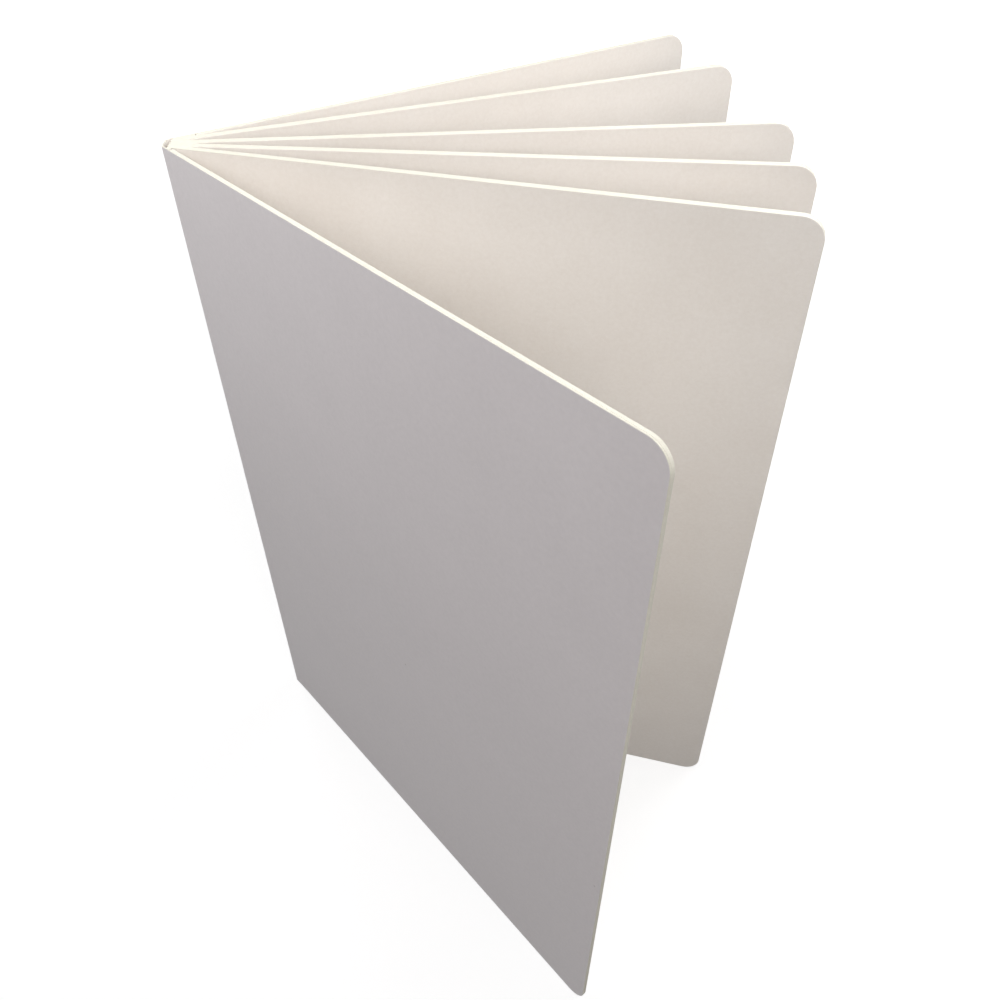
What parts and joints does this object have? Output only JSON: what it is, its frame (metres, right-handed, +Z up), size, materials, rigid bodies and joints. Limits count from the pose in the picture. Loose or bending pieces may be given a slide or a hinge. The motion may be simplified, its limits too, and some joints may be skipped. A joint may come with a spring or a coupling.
{
  "type": "blank board book",
  "caption": "Blank white board book standing upright and fanned open, with stiff round-cornered pages, a wrapped cover and a hollow behind its spine.",
  "frame": {"origin": "foot of the glued root at the spine, midway between the two outer pages, on the surface that the book stands on", "axes": "+Z up along the spine, +X out of the root between the pages towards the fore edges, -Y towards the front cover"},
  "size_m": [0.1489, 0.1919, 0.2032],
  "materials": {
    "cover_board": "smooth coated white board, satin",
    "page_board": "smooth uncoated white board, matt"
  },
  "bodies": {
    "book_block": {"page_block": "page_board", "spine": "cover_board"},
    "front_cover": {"front_cover": "cover_board"},
    "back_cover": {"back_cover": "cover_board"}
  },
  "joints": [
    {"name": "front_cover_hinge", "type": "hinge", "parent": "book_block", "child": "front_cover", "pos_m": [-0.00011, -0.0043, 0], "axis": [0, 0, 1], "range_deg": [-130, 31.8]},
    {"name": "back_cover_hinge", "type": "hinge", "parent": "book_block", "child": "back_cover", "pos_m": [0.00364, 0.00561, 0], "axis": [0, 0, 1], "range_deg": [-10.3, 148]}
  ]
}
